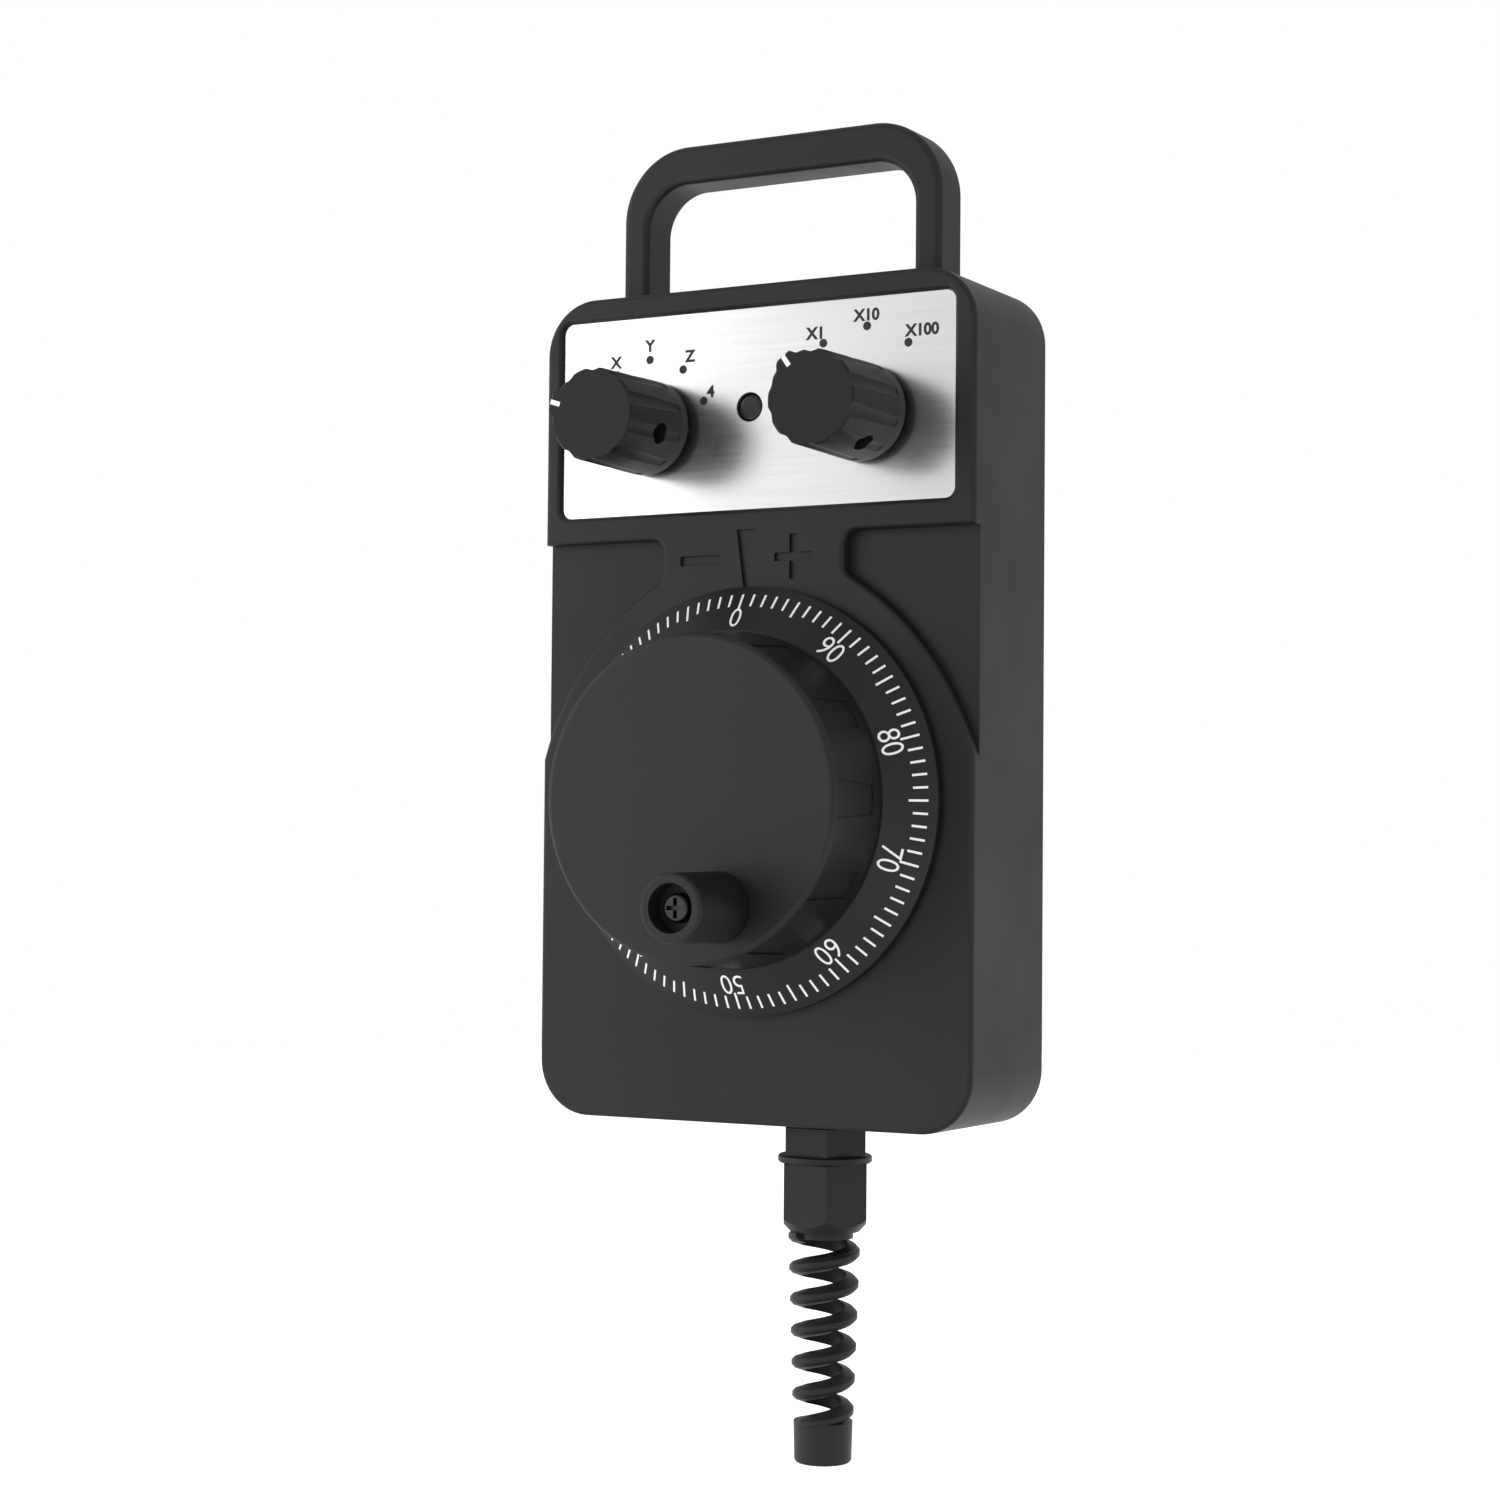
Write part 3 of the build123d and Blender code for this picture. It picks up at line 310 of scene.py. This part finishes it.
def weld(meshes, name):
    """One mesh of several, with doubled points joined and normals outwards."""
    joined = bmesh.new()
    for mesh in meshes:
        joined.from_mesh(mesh)
        bpy.data.meshes.remove(mesh)
    bmesh.ops.remove_doubles(joined, verts=joined.verts, dist=1e-7)
    bmesh.ops.recalc_face_normals(joined, faces=joined.faces)
    result = bpy.data.meshes.new(name)
    joined.to_mesh(result)
    joined.free()
    return result


def lifted(side):
    """Height of a print's front (side +1) or back (side -1) above the surface it lies on."""
    return INK_LIFT if side > 0 else -INK_SINK


# ---- Dial -----------------------------------------------------------------------------------
dial_low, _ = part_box("dial_ring")
DIAL_AT = Vector(JOINTS["handwheel_spin"]["pos_m"])


def on_dial(radius, angle, lift):
    """Point on the dial's cone, lifted along its normal. The angle runs from +X towards +Z."""
    slope = CONE_DROP / (CONE_OUTER - CONE_INNER)
    back = dial_low.y + (radius - CONE_INNER) * slope
    lean = (1 + slope**2) ** -0.5
    out = radius + lift * slope * lean
    return Vector((DIAL_AT.x + out * cos(angle), back - lift * lean, DIAL_AT.z + out * sin(angle)))


def dial_line(index):
    """One graduation, longer at every fifth and tenth line."""
    kind = 10 if index % 10 == 0 else 5 if index % 5 == 0 else 1
    angle = pi / 2 + 2 * pi * index / DIAL_LINES
    mesh = bpy.data.meshes.new("line")
    points = []
    for side in (-1, 1):
        for radius in (LINE_INNER[kind], LINE_OUTER):
            half = LINE_WIDTH / 2 / radius
            points += [on_dial(radius, angle + turn * half, lifted(side)) for turn in (-1, 1)]
    faces = [(0, 1, 3, 2), (4, 6, 7, 5), (0, 4, 5, 1), (2, 3, 7, 6), (0, 2, 6, 4), (1, 5, 7, 3)]
    mesh.from_pydata(points, [], faces)
    return mesh


def dial_number(number):
    """One number of the dial, its top outwards."""
    angle = pi / 2 + 2 * pi * number / DIAL_LINES
    mesh = text_mesh(str(number), NUMBER_HEIGHT, NUMBER_BOLD)
    for vertex in mesh.vertices:
        x, y, side = vertex.co
        radius = NUMBER_MIDDLE + y
        vertex.co = on_dial(radius, angle - x / radius, lifted(side))
    return mesh


def make_dial_print():
    lines = weld([dial_line(i) for i in range(DIAL_LINES)], "dial_lines")
    add_piece("dial_lines", lines, MATERIALS["white_inlay"], "handwheel")
    numbers = weld([dial_number(n) for n in range(0, DIAL_LINES, 10)], "dial_numbers")
    add_piece("dial_numbers", numbers, MATERIALS["white_inlay"], "handwheel")


# ---- Label plate ----------------------------------------------------------------------------
label_low, label_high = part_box("label_plate")


def on_label(x, z, side):
    return Vector((x, label_low.y - lifted(side), z))


def label_word(words, x, z):
    mesh = text_mesh(words, LABEL_HEIGHT, LABEL_BOLD)
    for vertex in mesh.vertices:
        vertex.co = on_label(x + vertex.co.x, z + vertex.co.y, vertex.co.z)
    return mesh


def label_dot(x, z):
    """Printed dot with a softly rounded edge."""
    mesh = bpy.data.meshes.new("dot")
    shape = bmesh.new()
    rings = []
    foot = (DOT_RADIUS, INK_SINK)
    shoulder = (DOT_RADIUS, -INK_EDGE * INK_LIFT)
    top = (DOT_TOP * DOT_RADIUS, -INK_LIFT)
    for radius, side_y in (foot, shoulder, top):
        ring = []
        for step in range(DOT_SIDES):
            turn = 2 * pi * step / DOT_SIDES
            place = (x + radius * cos(turn), label_low.y + side_y, z + radius * sin(turn))
            ring.append(shape.verts.new(place))
        rings.append(ring)
    for low, high in zip(rings, rings[1:]):
        for step in range(DOT_SIDES):
            after = (step + 1) % DOT_SIDES
            shape.faces.new((low[step], low[after], high[after], high[step]))
    shape.faces.new(rings[0])
    shape.faces.new(reversed(rings[-1]))
    shape.to_mesh(mesh)
    shape.free()
    return mesh


def selector_print(joint_name, dots, labels):
    """Dots and labels round one selector, at millimetres right of and above its axis."""
    centre = Vector(JOINTS[joint_name]["pos_m"])
    meshes = [label_dot(centre.x + right * MM, centre.z + up * MM) for right, up in dots.values()]
    for words, (right, up) in labels.items():
        meshes.append(label_word(words, centre.x + right * MM, centre.z + up * MM))
    return meshes


def make_label_print():
    left = selector_print("axis_selector_turn", AXIS_DOTS, AXIS_LABELS)
    right = selector_print("multiplier_selector_turn", MULTIPLIER_DOTS, MULTIPLIER_LABELS)
    words = weld(left + right, "label_print")
    add_piece("label_print", words, MATERIALS["black_ink"], "case")


# ---- Studio ---------------------------------------------------------------------------------
def make_camera():
    data = bpy.data.cameras.new("camera")
    data.lens = LENS
    data.sensor_width = SENSOR
    data.clip_start = 0.01
    data.clip_end = 50.0
    camera = bpy.data.objects.new("camera", data)
    turn = Matrix((CAMERA_RIGHT, CAMERA_UP, CAMERA_BACK)).transposed()
    camera.matrix_world = Matrix.Translation(CAMERA_AT) @ turn.to_4x4()
    bpy.context.scene.collection.objects.link(camera)
    bpy.context.scene.camera = camera


def floor_material():
    """Pale matt floor, lit up away from the middle so that it runs into the white surroundings."""
    material, tree, shader = new_material("floor", (0.8, 0.8, 0.8), 0.9, specular=0.1)
    tint(tree, shader, noise(tree, 3.0), (0.79, 0.79, 0.79), (0.81, 0.81, 0.81))
    coordinates = tree.nodes.new("ShaderNodeTexCoord")
    length = tree.nodes.new("ShaderNodeVectorMath")
    length.operation = "LENGTH"
    glow = tree.nodes.new("ShaderNodeMapRange")
    for name, value in zip(("From Min", "From Max", "To Min", "To Max"), FLOOR_GLOW):
        glow.inputs[name].default_value = value
    tree.links.new(coordinates.outputs["Object"], length.inputs[0])
    tree.links.new(length.outputs["Value"], glow.inputs["Value"])
    tree.links.new(glow.outputs["Result"], shader.inputs["Emission Strength"])
    shader.inputs["Emission Color"].default_value = (1, 1, 1, 1)
    return material


def make_floor():
    """Pale studio floor, well below the hanging pendant."""
    shape = bmesh.new()
    bmesh.ops.create_circle(shape, cap_ends=True, segments=96, radius=FLOOR_RADIUS)
    mesh = bpy.data.meshes.new("floor")
    shape.to_mesh(mesh)
    shape.free()
    mesh.materials.append(floor_material())
    floor = bpy.data.objects.new("floor", mesh)
    floor.location.z = cad_low.z - FLOOR_BELOW
    bpy.context.scene.collection.objects.link(floor)


def make_light(name, place, size, power):
    """Square soft box that faces the middle of the object."""
    data = bpy.data.lights.new(name, "AREA")
    data.shape = "SQUARE"
    data.size = size
    data.energy = power
    light = bpy.data.objects.new(name, data)
    middle = (cad_low + cad_high) / 2
    light.location = middle + place
    light.rotation_mode = "QUATERNION"
    light.rotation_quaternion = (-place).to_track_quat("-Z", "Y")
    bpy.context.scene.collection.objects.link(light)


def make_world():
    """White surroundings for the camera, and softer grey ones to light the object."""
    world = bpy.data.worlds.new("studio")
    world.use_nodes = True
    tree = world.node_tree
    lit = tree.nodes["Background"]
    lit.inputs["Strength"].default_value = SURROUNDINGS
    seen = tree.nodes.new("ShaderNodeBackground")
    path = tree.nodes.new("ShaderNodeLightPath")
    mix = tree.nodes.new("ShaderNodeMixShader")
    for node in (lit, seen):
        node.inputs["Color"].default_value = (1, 1, 1, 1)
    tree.links.new(path.outputs["Is Camera Ray"], mix.inputs["Fac"])
    tree.links.new(lit.outputs["Background"], mix.inputs[1])
    tree.links.new(seen.outputs["Background"], mix.inputs[2])
    tree.links.new(mix.outputs["Shader"], tree.nodes["World Output"].inputs["Surface"])
    bpy.context.scene.world = world


def make_studio():
    make_camera()
    make_floor()
    make_world()
    make_light("key", KEY_PLACE, KEY_SIZE, KEY_POWER)
    bpy.context.scene.view_settings.view_transform = "Standard"


finish_nodes()
make_dial_print()
make_label_print()
make_studio()
